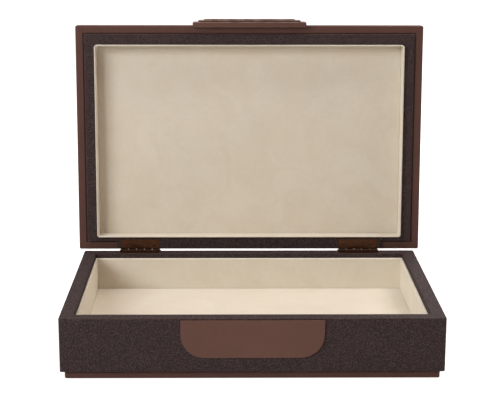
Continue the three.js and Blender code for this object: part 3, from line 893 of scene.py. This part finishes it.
on_rail = in_spans(grid[..., 0], [rail_span]) & (grid[..., 1] > 0) & (run[:, 0:1] == 0)
grid[..., 1] += np.where(on_rail, rail_rear - ring_outline[3], 0)
in_pocket = in_spans(grid[..., 0], pocket_spans) & (grid[..., 1] > pocket_front)
grid[..., 2] = np.where(in_pocket, np.maximum(grid[..., 2], pocket_roof), grid[..., 2])
ring_nodes = {side: f"ring_{side}" for side in frame_sides} | {"back": "ring_rear"}
for side, bar in mitred_bars(grid, middles, run):
    make_piece(f"lid_ring_{side}", [opened(bar)], shagreen, "lid", [ring_nodes[side]])

# ------------------------------------------------
# Lip: one strip of card covered in cream suede cloth, bent round the recess with its ends behind.
# It stands past the ring with a full round edge, and drops into the tray when the lid is shut.
# ------------------------------------------------
lip_thick = 1.9 * mm
lip_crest = 1.2 * mm
lip_round = 0.58 * mm
# The lip's round edge takes a little of the lighter edge colour: a painted highlight, with some
# scuffs.
lip_wear_and_highlight = 0.3
run = np.concatenate([
    quarter(0, lip_round, lip_low + lip_round, lip_round, 180, 270),
    quarter(1, lip_crest - lip_thick - lip_round, lip_low + lip_round, lip_round, 270, 360),
    quarter(1, -hidden_edge, lip_high - hidden_edge, hidden_edge, 0, 90, steps=2),
    quarter(0, hidden_edge, lip_high - hidden_edge, hidden_edge, 90, 180, steps=2),
])
lip_radii = (lip_corner, lip_corner - lip_thick)
grid = framed(lip_plan, grown(lip_plan, -lip_thick), run, lip_radii)[0]
wear_and_highlight = np.broadcast_to(run[:, 3:4] * lip_wear_and_highlight, grid.shape[:2])
lip_shape = opened(shell(grid[:, :-1], wear_and_highlight[:, :-1], rows_closed=True))
make_piece("lid_lip", [lip_shape], suede, "lid", lip_nodes)

# ------------------------------------------------
# Lid panel: a card with a thin layer of wadding, covered in cream suede cloth and pressed into the
# recess. Its face is left bare.
# ------------------------------------------------
lid_pad_grown = 0.28 * mm
rect, z0, z1 = plan_of(["lid_lining_panel"], closed_box)
pad_shape = opened(pad(grown(rect, lid_pad_grown), z1, z0, crown=0.3 * mm, waves=0.15 * mm, seed=5))
lid_panel = make_piece("lid_recess_panel", [pad_shape], suede, "lid", ["lid_lining_panel"])

# ------------------------------------------------
# Pull: three brown lacquered plates, each shorter and lower than the one behind it, glued into a
# notch in the lid's front edge as a stepped finger grip.
# ------------------------------------------------
# The pull's edges take a pale grey edge colour: a painted highlight, with some scuffs from
# handling.
handled_and_lit_brown = satin_brown(
    "handled_and_lit_brown_lacquer", shown(89, 63, 55), shown(158, 138, 130), rubbed_and_lit=0.9,
)
pull_corner = 0.8 * mm
pull_edge = 0.6 * mm
pull_back_edge = 0.25 * mm
for name in ("pull_back", "pull_middle", "pull_cap"):
    plate_shape = front_plate(*closed_box(name), [pull_corner] * 4, pull_back_edge, pull_edge)
    make_piece(f"{name}_plate", [opened(plate_shape)], handled_and_lit_brown, "lid", [name])

# ------------------------------------------------
# Hinges: two butt hinges of polished brass, their leaves let in flush and held by countersunk
# screws, with five knuckles on a headed pin. A fine bevel on every edge catches the light, and the
# knuckles' colour is darkened round the pin as painted shade.
# ------------------------------------------------
knuckle_radius = 1.9 * mm
knuckle_shade_reach = 3.2 * mm
brass, tree, shader, place = new_material("polished_brass")
tone = clouded(tree, place, scale=90.0, patches=0.08, flecks=0.03)
from_axis = vector_node(tree, "SUBTRACT", place, (0, axis_y, axis_z))
from_axis = vector_node(tree, "MULTIPLY", from_axis, (0, 1, 1))
from_axis = add(tree, "ShaderNodeVectorMath", {0: from_axis}, operation="LENGTH").outputs["Value"]
# Painted shade: the brass colour is mixed towards a dark brown on and near the knuckles, fading out
# by the reach.
knuckle_painted_shade = spread(tree, from_axis, knuckle_radius, knuckle_shade_reach, to_low=0.75, to_high=0.0)
ground = toned(tree, shown(80, 54, 40), tone["Tone"])
tree.links.new(mixed(tree, knuckle_painted_shade, ground, shown(44, 28, 21)), shader.inputs["Base Color"])
roughness = spread(tree, tone["Flecks"], low=0.2, high=0.8, to_low=0.24, to_high=0.34)
tree.links.new(roughness, shader.inputs["Roughness"])
shader.inputs["Metallic"].default_value = 1.0
bumped(tree, shader, tone["Flecks"], 0.002 * mm)

plate_bevel = 0.12 * mm
plate_crease = math.radians(20)
screw_bevel = 0.18 * mm
flat_bend = math.radians(0.5)
sharp_bend = math.radians(40)


def softened(name, node, body, width=plate_bevel, crease=plate_crease):
    """A welded copy of a brass solid, its sharp edges broken by a fine two-step bevel."""
    mesh = frame["nodes"][node].data.copy()
    work = bmesh.new()
    work.from_mesh(mesh)
    bmesh.ops.remove_doubles(work, verts=work.verts, dist=weld_distance * 2)
    bmesh.ops.dissolve_limit(work, angle_limit=flat_bend, verts=work.verts, edges=work.edges)
    edges = [e for e in work.edges if len(e.link_faces) == 2 and e.calc_face_angle(0) > sharp_bend]
    bmesh.ops.bevel(
        work, geom=edges, offset=width, segments=2, profile=0.5, affect="EDGES", clamp_overlap=True,
    )
    work.to_mesh(mesh)
    work.free()
    finish_piece(name, mesh, brass, body, [node], crease)


for hinge in ("hinge_left", "hinge_right"):
    softened(f"{hinge}_tray_leaf", f"{hinge}_base_leaf", "tray")
    softened(f"{hinge}_swing_leaf", f"{hinge}_lid_leaf", "lid")
    softened(f"{hinge}_headed_pin", f"{hinge}_pin", "tray")
    for number in (1, 2, 3):
        for mine, theirs, body in (("tray", "base", "tray"), ("swing", "lid", "lid")):
            names = f"{hinge}_{mine}_screw_{number}", f"{hinge}_{theirs}_screw_{number}"
            softened(*names, body, screw_bevel, crease_angle)

# ------------------------------------------------
# Studio: a white floor that runs out of sight and keeps the box's shadow, under a white surround.
# Both glow white only where they are seen directly, and the surround lights the box with a weak,
# warm light.
# ------------------------------------------------
floor_half = 4.0
floor_corners = [(x, y, 0) for x, y in corners_of([-floor_half] * 2, [floor_half] * 2)]
floor_mesh = bpy.data.meshes.new("studio_floor")
floor_mesh.from_pydata(floor_corners, [], [(0, 1, 2, 3)])
floor = bpy.data.objects.new("studio_floor", floor_mesh)
bpy.context.scene.collection.objects.link(floor)


def seen_directly(tree):
    """1 for rays that show the background: from the camera, by reflection or through glass."""
    path = tree.nodes.new("ShaderNodeLightPath").outputs
    seen = math_node(tree, "MAXIMUM", path["Is Camera Ray"], path["Is Glossy Ray"])
    return math_node(tree, "MAXIMUM", seen, path["Is Transmission Ray"])


floor_white, tree, shader, place = new_material("studio_floor_white")
shader.inputs["Base Color"].default_value = (0.8, 0.8, 0.8, 1)
shader.inputs["Roughness"].default_value = 1.0
shader.inputs["Specular IOR Level"].default_value = 0.0
shader.inputs["Emission Color"].default_value = (1, 1, 1, 1)
away = add(tree, "ShaderNodeVectorMath", {0: place}, operation="LENGTH").outputs["Value"]
glow = spread(tree, away, low=0.3, high=1.0, to_low=0.72, to_high=1.0)
strength = math_node(tree, "MULTIPLY", seen_directly(tree), glow)
tree.links.new(strength, shader.inputs["Emission Strength"])
floor_mesh.materials.append(floor_white)

ambient = 0.16
warm_bounce = (1.0, 0.61, 0.43, 1)
world = bpy.data.worlds.new("studio")
bpy.context.scene.world = world
world.use_nodes = True
tree = world.node_tree
surround = tree.nodes["Background"]
direct = seen_directly(tree)
tree.links.new(mixed(tree, direct, warm_bounce, (1, 1, 1, 1)), surround.inputs["Color"])
level = math_node(tree, "MULTIPLY_ADD", direct, 1.0 - ambient, ambient)
tree.links.new(level, surround.inputs["Strength"])

# ------------------------------------------------
# Lamps: a broad soft box in front and to the left, a smaller one high on the right above the lid's
# plane, and weak ones overhead, high on the left and behind, so that no side is lost.
# ------------------------------------------------


def soft_box(name, place, target, width, height, watts, colour=(1, 1, 1)):
    """A rectangular lamp that faces a point: its -Z axis is turned along target - place."""
    data = bpy.data.lights.new(name, "AREA")
    data.shape = "RECTANGLE"
    data.color = colour
    data.size, data.size_y, data.energy = width, height, watts
    lamp = bpy.data.objects.new(name, data)
    bpy.context.scene.collection.objects.link(lamp)
    lamp.location = place
    from_here = Vector(target) - Vector(place)
    lamp.rotation_euler = from_here.to_track_quat("-Z", "Y").to_euler()


aim = (0, 0.05, 0.08)
warm_white = (1.0, 0.9, 0.86)
soft_box("key_lamp", (-1.45, -1.25, 1.1), aim, 1.2, 0.9, 30.5)
soft_box("right_lamp", (0.85, 0.1, 1.3), aim, 0.6, 0.6, 9.6, warm_white)
soft_box("top_lamp", (0.45, 0.2, 1.5), aim, 0.9, 0.7, 4.8)
soft_box("left_lamp", (-0.8, 0.0, 1.35), aim, 0.6, 0.6, 3.7)
soft_box("rear_lamp", (0.9, 1.8, 0.9), aim, 1.0, 1.0, 8.0)

# ------------------------------------------------
# Camera: at the photograph's place and turn, fitted to the edges of the box. The focal length is in
# points of the picture, which is 490 points wide.
# ------------------------------------------------
picture_width = 490
focal_points = 1337.64
sensor = 36.0
camera_place = (-19.02 * mm, -1152.19 * mm, 400.26 * mm)
pitch, yaw, roll = (math.radians(a) for a in (13.59, 0.679, 0.117))
ahead = np.array([
    math.sin(yaw) * math.cos(pitch), math.cos(yaw) * math.cos(pitch), -math.sin(pitch),
])
level_right = np.array([math.cos(yaw), -math.sin(yaw), 0.0])
level_up = np.cross(level_right, ahead)
right = level_right * math.cos(roll) + level_up * math.sin(roll)
up = level_up * math.cos(roll) - level_right * math.sin(roll)
camera_data = bpy.data.cameras.new("photo_camera")
camera_data.sensor_fit = "HORIZONTAL"
camera_data.sensor_width = sensor
camera_data.lens = focal_points / picture_width * sensor
camera = bpy.data.objects.new("photo_camera", camera_data)
bpy.context.scene.collection.objects.link(camera)
camera.matrix_world = Matrix([
    [right[0], up[0], -ahead[0], camera_place[0]],
    [right[1], up[1], -ahead[1], camera_place[1]],
    [right[2], up[2], -ahead[2], camera_place[2]],
    [0, 0, 0, 1],
])
bpy.context.scene.camera = camera
bpy.context.scene.view_settings.view_transform = "Standard"
